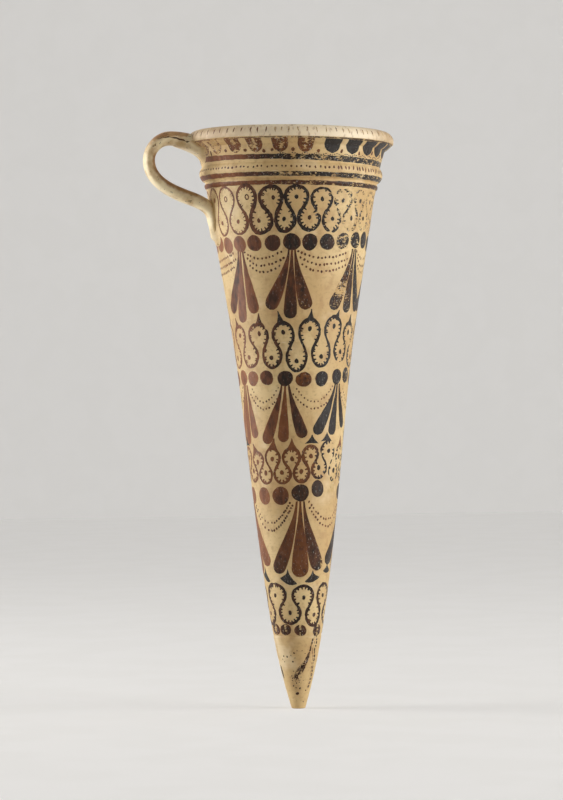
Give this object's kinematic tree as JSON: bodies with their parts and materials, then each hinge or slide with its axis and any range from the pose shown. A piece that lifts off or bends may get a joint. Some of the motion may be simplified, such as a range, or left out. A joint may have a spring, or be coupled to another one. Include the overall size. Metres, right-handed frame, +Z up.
{
  "type": "rhyton drinking cup",
  "caption": "Tall conical clay drinking and pouring cup, pierced at the pointed end, with a rolled lip, ringed collar and looped strap handle.",
  "frame": {"origin": "centre of the pouring hole's mouth, in the cut end of the tip", "axes": "+Z up the axis of the cone to the wide mouth; the handle lies in the XZ plane, on the -X side"},
  "size_m": [0.149, 0.1216, 0.34],
  "materials": {
    "buff_clay": "burnished unglazed buff clay, worn",
    "painted_wall": "burnished buff clay with dark slip ornament",
    "slipped_handle": "burnished clay with a thin worn brown wash",
    "dark_slip": "semi-matt dark iron slip, worn"
  },
  "bodies": {
    "root": {"pouring_tip": "buff_clay", "lower_wall": "painted_wall", "upper_wall": "painted_wall", "collar_wall": "painted_wall", "rolled_lip": "buff_clay", "broad_moulding": "painted_wall", "narrow_ridge": "painted_wall", "handle_strap": "slipped_handle", "handle_head_fillet": "slipped_handle", "handle_root_fillet": "slipped_handle"}
  },
  "joints": []
}
